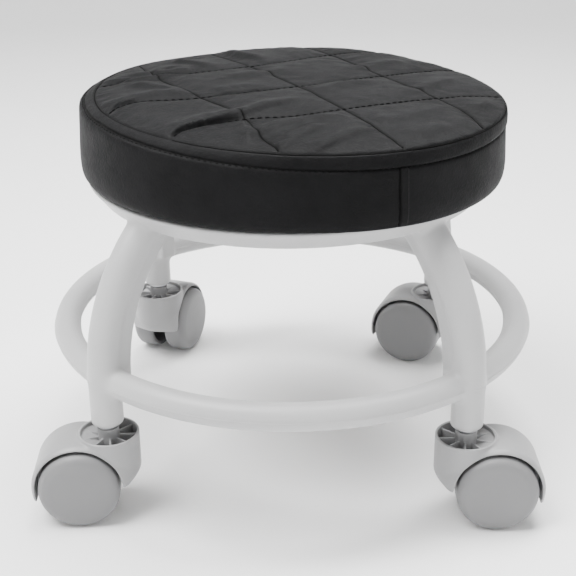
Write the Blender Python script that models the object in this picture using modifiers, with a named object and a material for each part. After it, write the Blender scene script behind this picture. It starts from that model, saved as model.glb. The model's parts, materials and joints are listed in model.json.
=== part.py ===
"""A low round stool on four twin-wheel swivel casters.

Metres, Z up, standing on Z = 0 with the seat's centre on the Z axis. A padded disc in a sewn
cover sits on a one-piece moulded frame: a shallow seat dish, four curved legs and a foot ring.
Each leg ends in a socket that holds the stem of a caster. Run it with
blender --background --python part.py, or from Blender's text editor.
"""

import math

import bpy
from mathutils import Matrix, Vector

GAP = 0.0003
SHARP = math.radians(32)

# Moulded frame. Radii are from the stool's centre.
LEG_ANGLES = {"fl": 225.0, "fr": 315.0, "rl": 135.0, "rr": 45.0}
STEM_RADIUS_OUT = 0.1545
LEG_BOTTOM = 0.0626
LEG_TUBE = 0.0099
LEG_BEND_Z = 0.0926
LEG_BEND = 0.122
LEG_TOP_Z = 0.1846
WEB_THICK = 0.014
WEB_EDGE = 0.0015
WEB_CENTRE_OUT = 0.0268
WEB_BEND = 0.1115
WEB_TOP_Z = 0.1916
WEB_BOTTOM_Z = 0.087
RING_OUT = 0.1515
RING_Z = 0.0909
RING_TUBE = 0.0084
DISH_TOP = 0.1931
DISH_BOTTOM = 0.1811
DISH_TOP_OUT = 0.131
DISH_BOTTOM_OUT = 0.1225
DISH_WALL = 0.003
DISH_HOLE = 0.040
RIB_THICK = 0.0024
RIB_BOTTOM = 0.1826
BOSS_OUT = 0.085
BOSS_RADIUS = 0.006
SOCKET_RADIUS = 0.00605
SOCKET_TOP = 0.0878

# Seat.
SEAT_STEPS = 36
SEAT_ASIDE = 0.0028
COVER_THICK = 0.0016
HEM_THICK = 0.0012
HEM_INNER = 0.104
HEM_Z = DISH_TOP + GAP
BOARD_RADIUS = 0.129
BOARD_THICK = 0.009
BOARD_Z = HEM_Z + HEM_THICK + GAP
FOAM_Z = BOARD_Z + BOARD_THICK + GAP
SIDE_OUTLINE = ((0.131, HEM_Z), (0.1333, 0.1953), (0.1346, 0.199), (0.135, 0.207), (0.1354, 0.2330))
EDGE_OUTLINE = ((0.1354, 0.2333), (0.1345, 0.2368), (0.130, 0.2398))
EDGE_INSIDE = ((0.1338, 0.2333), (0.1329, 0.2358), (0.130, 0.2380))
CROWN_EDGE = (0.1297, 0.2400)
CROWN_TOP = 0.248
CROWN_FLAT = 0.024
CROWN_POWER = 2.0

# Seat screws.
SCREW_RADIUS = 0.002
SCREW_HEAD_RADIUS = 0.0045
SCREW_HEAD = 0.0028
SCREW_TIP = BOARD_Z + 0.0075
SCREW_HOLE = SCREW_RADIUS + GAP

# Casters. Inside a caster, X runs from the stem back towards the wheels, and Y along the axle.
SWIVEL_ANGLES = {"fl": 185.0, "fr": 1.5, "rl": 72.5, "rr": 160.0}
TRAIL = 0.0185
WHEEL_RADIUS = 0.025
WHEEL_INNER = 0.0056
WHEEL_OUTER = 0.0228
WHEEL_BORE = 0.0028
WHEEL_BORE_END = 0.0190
AXLE_RADIUS = WHEEL_BORE - GAP
AXLE_END = WHEEL_BORE_END - GAP
WEB_HALF = WHEEL_INNER - 0.0006
HOOD_RADIUS = 0.0294
HOOD_INSIDE = 0.027
HOOD_HALF = 0.0196
HOOD_EDGE = 0.005
HOOD_TAIL_Z = 0.0180
HOOD_NOSE_Z = 0.0262
HUB_RADIUS = 0.0187
HUB_TOP = 0.0560
HUB_BOTTOM = 0.0248
HUB_EDGE = 0.0090
POCKET_RADIUS = 0.0171
POCKET_BOTTOM = 0.0305
POCKET_FLOOR = 0.0285
CASTER_BOSS_RADIUS = 0.0066
CASTER_BOSS_TOP = 0.0598
CASTER_RIBS = 9
CASTER_RIB_TOP = 0.0538
CASTER_RIB_THICK = 0.0011
STEM_LOWER = 0.004
STEM_LOWER_END = 0.0405
STEM_UPPER = 0.0055
STEM_UPPER_END = 0.0853
COLLAR_RADIUS = 0.0075
GROOVE_RADIUS = 0.0046
GROOVE_Z = (0.0798, 0.0828)
GRIP_OUT = 0.00585
GRIP_OPENING = math.radians(24)

PLASTIC = (0.80, 0.80, 0.79)
CASTER_GREY = (0.56, 0.56, 0.56)
WHEEL_GREY = (0.50, 0.50, 0.50)
LEATHER = (0.022, 0.022, 0.024)
STEEL = (0.62, 0.62, 0.63)
PLYWOOD = (0.68, 0.52, 0.34)
FOAM = (0.86, 0.82, 0.62)


def clear_scene():
    """Empties the scene of the objects that Blender starts with."""
    for obj in list(bpy.data.objects):
        bpy.data.objects.remove(obj)


def collection(name, hidden=False):
    found = bpy.data.collections.new(name)
    found.hide_render = hidden
    bpy.context.scene.collection.children.link(found)
    return found


def material(name, colour, roughness, metallic=0.0):
    made = bpy.data.materials.new(name)
    made.use_nodes = True
    shader = made.node_tree.nodes["Principled BSDF"]
    shader.inputs["Base Color"].default_value = (*colour, 1.0)
    shader.inputs["Roughness"].default_value = roughness
    shader.inputs["Metallic"].default_value = metallic
    made.diffuse_color = (*colour, 1.0)
    return made


def helper(obj):
    """Puts a construction shape among the hidden cutters."""
    obj.hide_render = True
    obj.display_type = "WIRE"
    CUTTERS.objects.link(obj)
    return obj


def turned(name, outline, steps, closed=False):
    """A helper turned about Z from an outline of (radius, height), outer side top to bottom."""
    mesh = bpy.data.meshes.new(name)
    points = [(radius, 0.0, height) for radius, height in outline]
    edges = [(index, index + 1) for index in range(len(points) - 1)]
    if closed:
        edges.append((len(points) - 1, 0))
    mesh.from_pydata(points, edges, [])
    obj = helper(bpy.data.objects.new(name, mesh))
    screw = obj.modifiers.new("turn", "SCREW")
    screw.steps = steps
    screw.render_steps = steps
    screw.use_merge_vertices = True
    screw.merge_threshold = 0.00001
    return obj


def post(name, radius, low, high, steps):
    """A helper cylinder about Z."""
    return turned(name, ((0, high), (radius, high), (radius, low), (0, low)), steps)


def lying(obj, trail=TRAIL, height=WHEEL_RADIUS, turn=-90.0):
    """Lays a shape turned about Z along the caster's axle, its +Z to +Y."""
    obj.matrix_world = Matrix.Translation((trail, 0, height)) @ Matrix.Rotation(math.radians(turn), 4, "X")
    return obj


def plate(name, outline, thickness, edge=0.0):
    """A helper plate in the XZ plane: an outline of (x, z) extruded to both sides of Y = 0."""
    curve = bpy.data.curves.new(name, "CURVE")
    curve.dimensions = "2D"
    curve.fill_mode = "BOTH"
    curve.extrude = thickness / 2 - edge
    curve.bevel_depth = edge
    curve.bevel_resolution = 1
    curve.offset = -edge
    spline = curve.splines.new("POLY")
    spline.points.add(len(outline) - 1)
    for point, (x, z) in zip(spline.points, outline):
        point.co = (x, z, 0, 1)
    spline.use_cyclic_u = True
    drawn = bpy.data.objects.new(name, curve)
    mesh = bpy.data.meshes.new_from_object(drawn)
    bpy.data.objects.remove(drawn)
    mesh.transform(Matrix.Rotation(math.radians(90), 4, "X"))
    return helper(bpy.data.objects.new(name, mesh))


def tube(name, route, radius):
    """A helper round tube along a route of (x, y, z) points."""
    curve = bpy.data.curves.new(name, "CURVE")
    curve.dimensions = "3D"
    curve.bevel_depth = radius
    curve.bevel_resolution = 4
    curve.use_fill_caps = True
    spline = curve.splines.new("POLY")
    spline.points.add(len(route) - 1)
    for point, place in zip(spline.points, route):
        point.co = (*place, 1)
    drawn = bpy.data.objects.new(name, curve)
    mesh = bpy.data.meshes.new_from_object(drawn)
    bpy.data.objects.remove(drawn)
    return helper(bpy.data.objects.new(name, mesh))


def placed(obj, angle):
    """Turns a helper about the Z axis by an angle in degrees."""
    obj.matrix_world = Matrix.Rotation(math.radians(angle), 4, "Z") @ obj.matrix_world
    return obj


def combine(target, operation, *tools):
    for tool in tools:
        step = target.modifiers.new(tool.name, "BOOLEAN")
        step.operation = operation
        step.solver = "EXACT"
        step.object = tool
    return target


def result(obj, name):
    """The mesh that a helper's modifiers give, shaded smooth between its sharp edges."""
    bpy.context.view_layer.update()
    evaluated = obj.evaluated_get(bpy.context.evaluated_depsgraph_get())
    mesh = bpy.data.meshes.new_from_object(evaluated)
    mesh.transform(obj.matrix_world)
    mesh.name = name
    mesh.shade_smooth()
    mesh.set_sharp_from_angle(angle=SHARP)
    return mesh


def part(name, mesh, look, parent=None, matrix=None):
    """A finished piece, in its place."""
    obj = bpy.data.objects.new(name, mesh)
    PARTS.objects.link(obj)
    mesh.materials.clear()
    mesh.materials.append(look)
    obj.parent = parent
    if matrix is not None:
        obj.matrix_local = matrix
    return obj


def arc(centre, radius, start, end, steps):
    """Points on an arc in a plane, from one angle to another in radians."""
    turns = [start + (end - start) * step / steps for step in range(steps + 1)]
    return [(centre[0] + radius * math.cos(turn), centre[1] + radius * math.sin(turn)) for turn in turns]


def leg_angle(height, bend, bend_z=LEG_BEND_Z):
    """How far round a leg's arc a height lies."""
    return math.asin((height - bend_z) / bend)


# ---------------------------------------------------------------- frame


def seat_dish():
    """The dish under the seat: a top plate, a sloping outer skirt and a wall round its hole."""
    inside_top = DISH_TOP - DISH_WALL
    outline = (
        (DISH_HOLE, DISH_TOP),
        (DISH_TOP_OUT - 0.001, DISH_TOP),
        (DISH_TOP_OUT, DISH_TOP - 0.001),
        (DISH_BOTTOM_OUT + 0.0008, DISH_BOTTOM + 0.001),
        (DISH_BOTTOM_OUT, DISH_BOTTOM),
        (DISH_BOTTOM_OUT - DISH_WALL, DISH_BOTTOM),
        (DISH_TOP_OUT - DISH_WALL - 0.002, inside_top),
        (DISH_HOLE + DISH_WALL, inside_top),
        (DISH_HOLE + DISH_WALL, DISH_BOTTOM),
        (DISH_HOLE, DISH_BOTTOM),
    )
    return turned("dish", outline, 48, closed=True)


def leg_tube(angle):
    """A leg's round outer edge: straight up from the socket, then bowed in to the dish."""
    centre = (STEM_RADIUS_OUT - LEG_BEND, LEG_BEND_Z)
    bowed = arc(centre, LEG_BEND, 0.0, leg_angle(LEG_TOP_Z, LEG_BEND), 7)
    route = [(STEM_RADIUS_OUT, 0, LEG_BOTTOM)] + [(out, 0, height) for out, height in bowed]
    return placed(tube("leg_tube", route, LEG_TUBE), angle)


def leg_web(angle):
    """The flat web on a leg's inner side, which widens into the dish."""
    inner = arc(
        (WEB_CENTRE_OUT, LEG_BEND_Z),
        WEB_BEND,
        leg_angle(WEB_TOP_Z, WEB_BEND),
        0.0,
        7,
    )
    middle = arc(
        (STEM_RADIUS_OUT - LEG_BEND, LEG_BEND_Z),
        LEG_BEND,
        0.0,
        leg_angle(WEB_TOP_Z, LEG_BEND),
        7,
    )
    foot = [(inner[-1][0], WEB_BOTTOM_Z), (middle[0][0], WEB_BOTTOM_Z)]
    return placed(plate("leg_web", inner + foot + middle, WEB_THICK, WEB_EDGE), angle)


def foot_ring():
    """The foot ring, as a torus."""
    bpy.ops.mesh.primitive_torus_add(
        major_radius=RING_OUT,
        minor_radius=RING_TUBE,
        major_segments=48,
        minor_segments=12,
        location=(0, 0, RING_Z),
    )
    made = bpy.context.active_object
    made.name = "ring"
    for home in list(made.users_collection):
        home.objects.unlink(made)
    return helper(made)


def dish_rib(angle):
    """A stiffening rib under the dish, from its hole out to its skirt."""
    inner = DISH_HOLE + DISH_WALL / 2
    outer = DISH_BOTTOM_OUT - DISH_WALL / 2
    top = DISH_TOP - DISH_WALL / 2
    outline = ((inner, RIB_BOTTOM), (outer, RIB_BOTTOM), (outer, top), (inner, top))
    return placed(plate("dish_rib", outline, RIB_THICK), angle)


def at_boss(obj, angle):
    obj.matrix_world = Matrix.Translation((BOSS_OUT, 0, 0))
    return placed(obj, angle)


def build_frame():
    frame = seat_dish()
    for angle in LEG_ANGLES.values():
        combine(frame, "UNION", leg_web(angle), leg_tube(angle))
    combine(frame, "UNION", foot_ring())
    for quarter in range(4):
        angle = 90.0 * quarter
        boss = at_boss(post("screw_boss", BOSS_RADIUS, RIB_BOTTOM, DISH_TOP - DISH_WALL / 2, 16), angle)
        combine(frame, "UNION", dish_rib(angle), boss)
    for quarter in range(4):
        hole = post("screw_hole", SCREW_HOLE, RIB_BOTTOM - 0.002, DISH_TOP + 0.002, 12)
        combine(frame, "DIFFERENCE", at_boss(hole, 90.0 * quarter))
    for angle in LEG_ANGLES.values():
        socket = post("socket", SOCKET_RADIUS, LEG_BOTTOM - 0.002, SOCKET_TOP, 16)
        socket.matrix_world = Matrix.Translation((STEM_RADIUS_OUT, 0, 0))
        combine(frame, "DIFFERENCE", placed(socket, angle))
    part("frame", result(frame, "frame"), LOOKS["frame"])


# ---------------------------------------------------------------- seat


def crown(steps, drop=0.0):
    """The seat top's outline from its seam in to its flat middle, lowered by a drop."""
    out, low = CROWN_EDGE
    rise = CROWN_TOP - low
    outline = []
    for step in range(steps):
        across = 1 - step / (steps - 1)
        radius = CROWN_FLAT + (out - CROWN_FLAT) * across
        outline.append((radius, low + rise * (1 - across**CROWN_POWER) - drop))
    return outline + [(0, CROWN_TOP - drop)]


def inset(outline, distance):
    """An outline moved in towards the axis."""
    return [(radius - distance, height) for radius, height in outline]


def build_seat():
    aside = Matrix.Translation((SEAT_ASIDE, 0, 0))
    band_outer = list(reversed(SIDE_OUTLINE))
    band_inner = [point for point in inset(SIDE_OUTLINE, COVER_THICK) if point[1] > HEM_Z + HEM_THICK]
    hem = [(HEM_INNER, HEM_Z), (HEM_INNER, HEM_Z + HEM_THICK), (0.1305, HEM_Z + HEM_THICK)]
    band = turned("band", band_outer + hem + band_inner[1:], SEAT_STEPS, closed=True)
    part("cover_side_band", result(band, "cover_side_band"), LOOKS["leather"], matrix=aside)

    strip_outer = list(reversed(EDGE_OUTLINE))
    strip = turned("strip", strip_outer + list(EDGE_INSIDE), SEAT_STEPS, closed=True)
    part("cover_edge_strip", result(strip, "cover_edge_strip"), LOOKS["leather"], matrix=aside)

    top_outer = list(reversed(crown(5)))
    top_inner = crown(5, COVER_THICK)
    top = turned("top", top_outer + top_inner, SEAT_STEPS)
    part("cover_top_panel", result(top, "cover_top_panel"), LOOKS["leather"], matrix=aside)

    clear = COVER_THICK + GAP
    foam_top = list(reversed(crown(5, clear)))[:-1]
    foam_edge = [(CROWN_EDGE[0] - clear, CROWN_EDGE[1] - clear), (0.1318, 0.2353)]
    foam_side = [(0.1331, 0.231), (0.1327, 0.207), (0.1324, FOAM_Z), (0, FOAM_Z)]
    foam = turned("foam", foam_top + foam_edge + foam_side, SEAT_STEPS)
    part("seat_foam", result(foam, "seat_foam"), LOOKS["foam"], matrix=aside)

    board = post("board", BOARD_RADIUS, BOARD_Z, BOARD_Z + BOARD_THICK, SEAT_STEPS)
    for quarter in range(4):
        pilot = at_boss(post("pilot", SCREW_HOLE, BOARD_Z - 0.002, SCREW_TIP + GAP, 12), 90.0 * quarter)
        pilot.matrix_world = aside.inverted() @ pilot.matrix_world
        combine(board, "DIFFERENCE", pilot)
    part("seat_board", result(board, "seat_board"), LOOKS["board"], matrix=aside)


def build_screws():
    """Four pan-head screws, up through the dish into the board."""
    under = RIB_BOTTOM - GAP
    outline = (
        (0, SCREW_TIP),
        (SCREW_RADIUS * 0.4, SCREW_TIP),
        (SCREW_RADIUS, SCREW_TIP - 0.003),
        (SCREW_RADIUS, under),
        (SCREW_HEAD_RADIUS, under),
        (SCREW_HEAD_RADIUS * 0.85, under - SCREW_HEAD * 0.75),
        (0, under - SCREW_HEAD),
    )
    screw = turned("screw", outline, 12)
    mesh = result(screw, "seat_screw")
    for quarter in range(4):
        angle = math.radians(90 * quarter)
        place = Matrix.Translation((BOSS_OUT * math.cos(angle), BOSS_OUT * math.sin(angle), 0))
        part(f"seat_screw_{quarter + 1}", mesh.copy(), LOOKS["steel"], matrix=place)


# ---------------------------------------------------------------- casters


def hood():
    """The fender over the wheels: a lying drum with rounded shoulders."""
    shoulder = arc(
        (HOOD_RADIUS - HOOD_EDGE, HOOD_HALF - HOOD_EDGE), HOOD_EDGE, math.pi / 2, 0.0, 2
    )
    outline = [(0, HOOD_HALF)] + shoulder
    outline += [(radius, -height) for radius, height in reversed(outline)]
    return lying(turned("hood", outline, 28))


def hub():
    """The upright drum round the stem, rounded underneath."""
    rounded = arc(
        (HUB_RADIUS - HUB_EDGE, HUB_BOTTOM + HUB_EDGE), HUB_EDGE, 0.0, -math.pi / 2, 3
    )
    outline = [(0, HUB_TOP), (HUB_RADIUS - 0.0006, HUB_TOP), (HUB_RADIUS, HUB_TOP - 0.0006)]
    return turned("hub", outline + rounded + [(0, HUB_BOTTOM)], 24)


def drum(name, radius, low, high, steps=28):
    """A helper cylinder along the axle, from one distance to another along Y."""
    return lying(turned(name, ((0, high), (radius, high), (radius, low), (0, low)), steps))


def caster_rib(angle):
    """A thin rib from the boss out to the pocket's wall, with its top just below the rim."""
    inner = CASTER_BOSS_RADIUS - 0.001
    outer = POCKET_RADIUS + 0.0006
    outline = (
        (inner, POCKET_BOTTOM - 0.001),
        (outer, POCKET_BOTTOM - 0.001),
        (outer, CASTER_RIB_TOP),
        (inner, CASTER_RIB_TOP),
    )
    return placed(plate("caster_rib", outline, CASTER_RIB_THICK), angle)


def housing_mesh():
    """One caster's housing: hood, hub with its ribbed pocket, and the web between the wheels."""
    reach = 0.035
    pocket = post("pocket", POCKET_RADIUS, POCKET_BOTTOM, HUB_TOP + 0.01, 24)
    combine(pocket, "DIFFERENCE", drum("pocket_floor", POCKET_FLOOR, -reach, reach))
    body = hood()
    combine(body, "UNION", hub())
    combine(body, "DIFFERENCE", pocket)
    boss = post("caster_boss", CASTER_BOSS_RADIUS, POCKET_BOTTOM - 0.001, CASTER_BOSS_TOP, 16)
    combine(body, "UNION", boss)
    for index in range(CASTER_RIBS):
        combine(body, "UNION", caster_rib(360.0 * (index + 0.5) / CASTER_RIBS))
    combine(body, "DIFFERENCE", drum("left_well", HOOD_INSIDE, WEB_HALF, reach))
    combine(body, "DIFFERENCE", drum("right_well", HOOD_INSIDE, -reach, -WEB_HALF))
    edge = ((0.08, HOOD_TAIL_Z), (0.034, HOOD_TAIL_Z), (-0.006, HOOD_NOSE_Z), (-0.05, HOOD_NOSE_Z))
    low = ((-0.05, -0.02), (0.08, -0.02), *edge)
    combine(body, "DIFFERENCE", plate("underside", low, 0.1))
    combine(body, "DIFFERENCE", drum("axle_hole", AXLE_RADIUS + GAP, -reach, reach, 12))
    bore = post("stem_bore", STEM_LOWER + GAP, STEM_LOWER_END - GAP, HUB_TOP + 0.01, 12)
    combine(body, "DIFFERENCE", bore)
    return result(body, "caster_housing")


def wheel_mesh():
    """One wheel, turned about Z with its domed face up and its open side down."""
    width = WHEEL_OUTER
    outline = (
        (0, width),
        (0.016, width - 0.0004),
        (0.0222, width - 0.0011),
        (0.0244, width - 0.0026),
        (WHEEL_RADIUS, width - 0.0048),
        (WHEEL_RADIUS, WHEEL_INNER + 0.0015),
        (0.0238, WHEEL_INNER),
        (0.0216, WHEEL_INNER),
        (0.021, width - 0.0042),
        (0.0062, width - 0.0042),
        (0.0056, WHEEL_INNER),
        (WHEEL_BORE, WHEEL_INNER),
        (WHEEL_BORE, WHEEL_BORE_END),
        (0, WHEEL_BORE_END),
    )
    return result(turned("wheel", outline, 20), "caster_wheel")


def stem_mesh():
    """The steel stem: a plain lower end, a collar, and an upper end with a groove."""
    collar_low = CASTER_BOSS_TOP + GAP
    collar_high = LEG_BOTTOM - GAP
    groove_low, groove_high = GROOVE_Z
    outline = (
        (0, STEM_UPPER_END),
        (STEM_UPPER - 0.0012, STEM_UPPER_END),
        (STEM_UPPER, STEM_UPPER_END - 0.0012),
        (STEM_UPPER, groove_high),
        (GROOVE_RADIUS, groove_high),
        (GROOVE_RADIUS, groove_low),
        (STEM_UPPER, groove_low),
        (STEM_UPPER, collar_high),
        (COLLAR_RADIUS, collar_high),
        (COLLAR_RADIUS, collar_low),
        (STEM_LOWER, collar_low),
        (STEM_LOWER, STEM_LOWER_END),
        (0, STEM_LOWER_END),
    )
    return result(turned("stem", outline, 12), "caster_stem")


def grip_ring_mesh():
    """The split spring ring that sits in the stem's groove and grips the socket."""
    low, high = GROOVE_Z
    inner = GROOVE_RADIUS + GAP
    outline = ((inner, high - GAP), (GRIP_OUT, high - GAP), (GRIP_OUT, low + GAP), (inner, low + GAP))
    ring = turned("grip_ring", outline, 16, closed=True)
    half = GRIP_OUT * math.tan(GRIP_OPENING / 2)
    corners = ((0, low - 0.01), (0.02, low - 0.01), (0.02, high + 0.01), (0, high + 0.01))
    combine(ring, "DIFFERENCE", plate("grip_slot", corners, 2 * half))
    return result(ring, "caster_grip_ring")


def axle_mesh():
    outline = ((0, AXLE_END), (AXLE_RADIUS, AXLE_END), (AXLE_RADIUS, -AXLE_END), (0, -AXLE_END))
    return result(turned("axle", outline, 12), "caster_axle")


def axis_empty(name, place):
    """An empty on a joint's axis."""
    obj = bpy.data.objects.new(name, None)
    obj.empty_display_size = 0.02
    obj.matrix_world = place
    PARTS.objects.link(obj)
    return obj


def build_casters():
    housing = housing_mesh()
    wheel = wheel_mesh()
    stem = stem_mesh()
    grip = grip_ring_mesh()
    axle = axle_mesh()
    outward = Matrix.Rotation(math.radians(-90), 4, "X")
    inward = Matrix.Rotation(math.radians(90), 4, "X")
    on_axle = Matrix.Translation((TRAIL, 0, WHEEL_RADIUS))
    for corner, angle in LEG_ANGLES.items():
        direction = math.radians(angle)
        foot = Vector((math.cos(direction), math.sin(direction), 0)) * STEM_RADIUS_OUT
        upright = Matrix.Translation(foot)
        name = f"caster_{corner}"
        part(f"{name}_stem", stem.copy(), LOOKS["steel"], matrix=upright)
        part(f"{name}_grip_ring", grip.copy(), LOOKS["steel"], matrix=upright)
        turn = Matrix.Rotation(math.radians(SWIVEL_ANGLES[corner]), 4, "Z")
        swivel = axis_empty(f"{name}_swivel", upright @ turn)
        part(f"{name}_housing", housing.copy(), LOOKS["caster"], swivel, Matrix.Identity(4))
        part(f"{name}_axle", axle.copy(), LOOKS["steel"], swivel, on_axle @ outward)
        part(f"{name}_wheel_left", wheel.copy(), LOOKS["wheel"], swivel, on_axle @ outward)
        part(f"{name}_wheel_right", wheel.copy(), LOOKS["wheel"], swivel, on_axle @ inward)


clear_scene()
PARTS = collection("pedicure_stool")
CUTTERS = collection("cutters", hidden=True)
LOOKS = {
    "frame": material("frame_plastic", PLASTIC, 0.42),
    "caster": material("caster_plastic", CASTER_GREY, 0.45),
    "wheel": material("wheel_plastic", WHEEL_GREY, 0.5),
    "leather": material("black_leatherette", LEATHER, 0.45),
    "steel": material("zinc_steel", STEEL, 0.35, 1.0),
    "board": material("plywood", PLYWOOD, 0.7),
    "foam": material("foam", FOAM, 0.95),
}
build_frame()
build_seat()
build_screws()
build_casters()
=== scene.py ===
"""The looks of a low round pedicure stool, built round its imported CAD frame.

Metres, Z up. The moulded frame and the caster housings are rebuilt as smooth blended skins, the
wheels and stems as finer turned shapes, and the seat as a sewn, quilted cushion whose cloth is
simulated between its pinned seams.
"""

import json
import math

import bmesh
import bpy
import numpy as np
from mathutils import Euler, Matrix, Vector, noise
from mathutils.bvhtree import BVHTree
from mathutils.geometry import delaunay_2d_cdt


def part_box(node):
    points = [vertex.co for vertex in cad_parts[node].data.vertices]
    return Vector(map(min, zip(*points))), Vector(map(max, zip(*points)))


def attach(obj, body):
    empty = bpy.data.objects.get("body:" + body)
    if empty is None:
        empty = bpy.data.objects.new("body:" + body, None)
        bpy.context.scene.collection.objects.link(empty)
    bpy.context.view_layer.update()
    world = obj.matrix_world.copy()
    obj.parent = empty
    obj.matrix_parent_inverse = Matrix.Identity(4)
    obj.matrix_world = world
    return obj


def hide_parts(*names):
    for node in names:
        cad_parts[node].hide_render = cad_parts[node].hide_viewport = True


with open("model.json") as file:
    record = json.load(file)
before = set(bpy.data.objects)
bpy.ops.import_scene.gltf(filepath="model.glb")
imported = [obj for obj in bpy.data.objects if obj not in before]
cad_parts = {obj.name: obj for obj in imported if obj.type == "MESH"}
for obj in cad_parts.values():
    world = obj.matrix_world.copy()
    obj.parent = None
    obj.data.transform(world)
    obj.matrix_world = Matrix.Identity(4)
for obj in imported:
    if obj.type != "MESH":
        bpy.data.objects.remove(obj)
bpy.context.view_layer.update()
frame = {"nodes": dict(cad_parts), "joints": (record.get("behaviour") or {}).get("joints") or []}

CORNERS = ("fl", "fr", "rl", "rr")
JOINTS = {joint["name"]: joint for joint in frame["joints"]}


# ---------------------------------------------------------------- meshes


def put(name, data):
    """A new object in the scene."""
    obj = bpy.data.objects.new(name, data)
    bpy.context.scene.collection.objects.link(obj)
    return obj


def piece(name, points, faces, look, body="root"):
    """A smooth-shaded mesh piece that rides on a body."""
    mesh = bpy.data.meshes.new(name)
    mesh.from_pydata([tuple(point) for point in points], [], [tuple(face) for face in faces])
    mesh.update()
    mesh.shade_smooth()
    mesh.materials.append(look)
    obj = put(name, mesh)
    if body:
        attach(obj, body)
    return obj


def joined(shapes):
    """One (points, faces) from several."""
    points, faces, start = [], [], 0
    for shape_points, shape_faces in shapes:
        points.append(np.asarray(shape_points, float))
        faces += [tuple(start + corner for corner in face) for face in shape_faces]
        start += len(shape_points)
    return np.concatenate(points), faces


def lathe(outline, steps=96):
    """A closed shape turned about Z from an outline of (radius, height), outer side top to bottom."""
    points, rings = [], []
    for radius, height in outline:
        if radius < 1e-6:
            rings.append([len(points)])
            points.append((0, 0, height))
            continue
        rings.append(list(range(len(points), len(points) + steps)))
        for step in range(steps):
            turn = 2 * math.pi * step / steps
            points.append((radius * math.cos(turn), radius * math.sin(turn), height))
    faces = []
    for upper, lower in zip(rings, rings[1:]):
        for step in range(steps):
            after = (step + 1) % steps
            if len(upper) == 1:
                faces.append((upper[0], lower[step], lower[after]))
            elif len(lower) == 1:
                faces.append((upper[step], lower[0], upper[after]))
            else:
                faces.append((upper[step], lower[step], lower[after], upper[after]))
    return np.array(points), faces


def smooth_line(points, spacing):
    """A Catmull-Rom curve through the points, sampled about every so many metres."""
    knots = [np.array(point, float) for point in points]
    knots = [2 * knots[0] - knots[1]] + knots + [2 * knots[-1] - knots[-2]]
    line = []
    for index in range(1, len(knots) - 2):
        before, start, end, after = knots[index - 1 : index + 3]
        steps = max(2, int(np.linalg.norm(end - start) / spacing * 4))
        for step in range(steps):
            t = step / steps
            line.append(
                0.5
                * (
                    2 * start
                    + (end - before) * t
                    + (2 * before - 5 * start + 4 * end - after) * t**2
                    + (3 * start - before - 3 * end + after) * t**3
                )
            )
    line.append(knots[-2])
    return evenly(np.array(line), spacing)


def run_along(line):
    """How far along a polyline each of its points lies."""
    return np.concatenate([[0], np.cumsum(np.linalg.norm(np.diff(line, axis=0), axis=1))])


def evenly(line, spacing):
    """Points along a polyline at equal distances, ends included."""
    along = run_along(line)
    count = max(2, round(along[-1] / spacing) + 1)
    wanted = np.linspace(0, along[-1], count)
    return np.stack([np.interp(wanted, along, line[:, axis]) for axis in range(line.shape[1])], 1)


def distance_to(points, line):
    """Each point's distance to a polyline, how far along it lies, and its signed side."""
    best = np.full(len(points), 1e9)
    along = np.zeros(len(points))
    side = np.zeros(len(points))
    run = 0.0
    for start, end in zip(line, line[1:]):
        step = end - start
        length = np.linalg.norm(step)
        share = np.clip(((points - start) @ step) / length**2, 0, 1)
        offset = points - start - share[:, None] * step
        away = np.linalg.norm(offset, axis=1)
        nearer = away < best
        best = np.where(nearer, away, best)
        along = np.where(nearer, run + share * length, along)
        side = np.where(nearer, np.sign(step[0] * offset[:, 1] - step[1] * offset[:, 0]), side)
        run += length
    return best, along, side


def cord(line, radius, sides=8, closed=False):
    """A round cord along a line of points, as (points, faces)."""
    count = len(line)
    ahead = np.roll(line, -1, 0) if closed else np.concatenate([line[1:], line[-1:]])
    behind = np.roll(line, 1, 0) if closed else np.concatenate([line[:1], line[:-1]])
    tangent = ahead - behind
    tangent /= np.linalg.norm(tangent, axis=1)[:, None]
    across = np.cross(tangent, (0.0, 0.0, 1.0))
    across /= np.linalg.norm(across, axis=1)[:, None]
    up = np.cross(across, tangent)
    points = []
    for place, right, top in zip(line, across, up):
        for side in range(sides):
            turn = 2 * math.pi * side / sides
            points.append(place + radius * (math.cos(turn) * right + math.sin(turn) * top))
    faces = []
    for index in range(count if closed else count - 1):
        after = (index + 1) % count
        for side in range(sides):
            beside = (side + 1) % sides
            faces.append(
                (
                    index * sides + side,
                    index * sides + beside,
                    after * sides + beside,
                    after * sides + side,
                )
            )
    if not closed:
        faces.append(tuple(range(sides))[::-1])
        faces.append(tuple((count - 1) * sides + side for side in range(sides)))
    return np.array(points), faces


# ---------------------------------------------------------------- blended skins


def blend_min(first, second, width):
    """The nearer of two distance fields, with a fillet where they meet."""
    near = np.maximum(width - np.abs(first - second), 0) / width
    return np.minimum(first, second) - near * near * width / 4


def blend_max(first, second, width):
    return -blend_min(-first, -second, width)


def segment(x, y, start, end, half):
    """Distance to a thick line from start to end in a plane."""
    step = (end[0] - start[0], end[1] - start[1])
    share = ((x - start[0]) * step[0] + (y - start[1]) * step[1]) / (step[0] ** 2 + step[1] ** 2)
    share = np.clip(share, 0, 1)
    return np.hypot(x - start[0] - share * step[0], y - start[1] - share * step[1]) - half


def rounded_drum(radial, axial, radius, half, edge):
    """Distance to a cylinder with rounded rims."""
    out = radial - (radius - edge)
    over = np.abs(axial) - (half - edge)
    outside = np.hypot(np.maximum(out, 0), np.maximum(over, 0))
    return outside + np.minimum(np.maximum(out, over), 0) - edge


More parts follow.
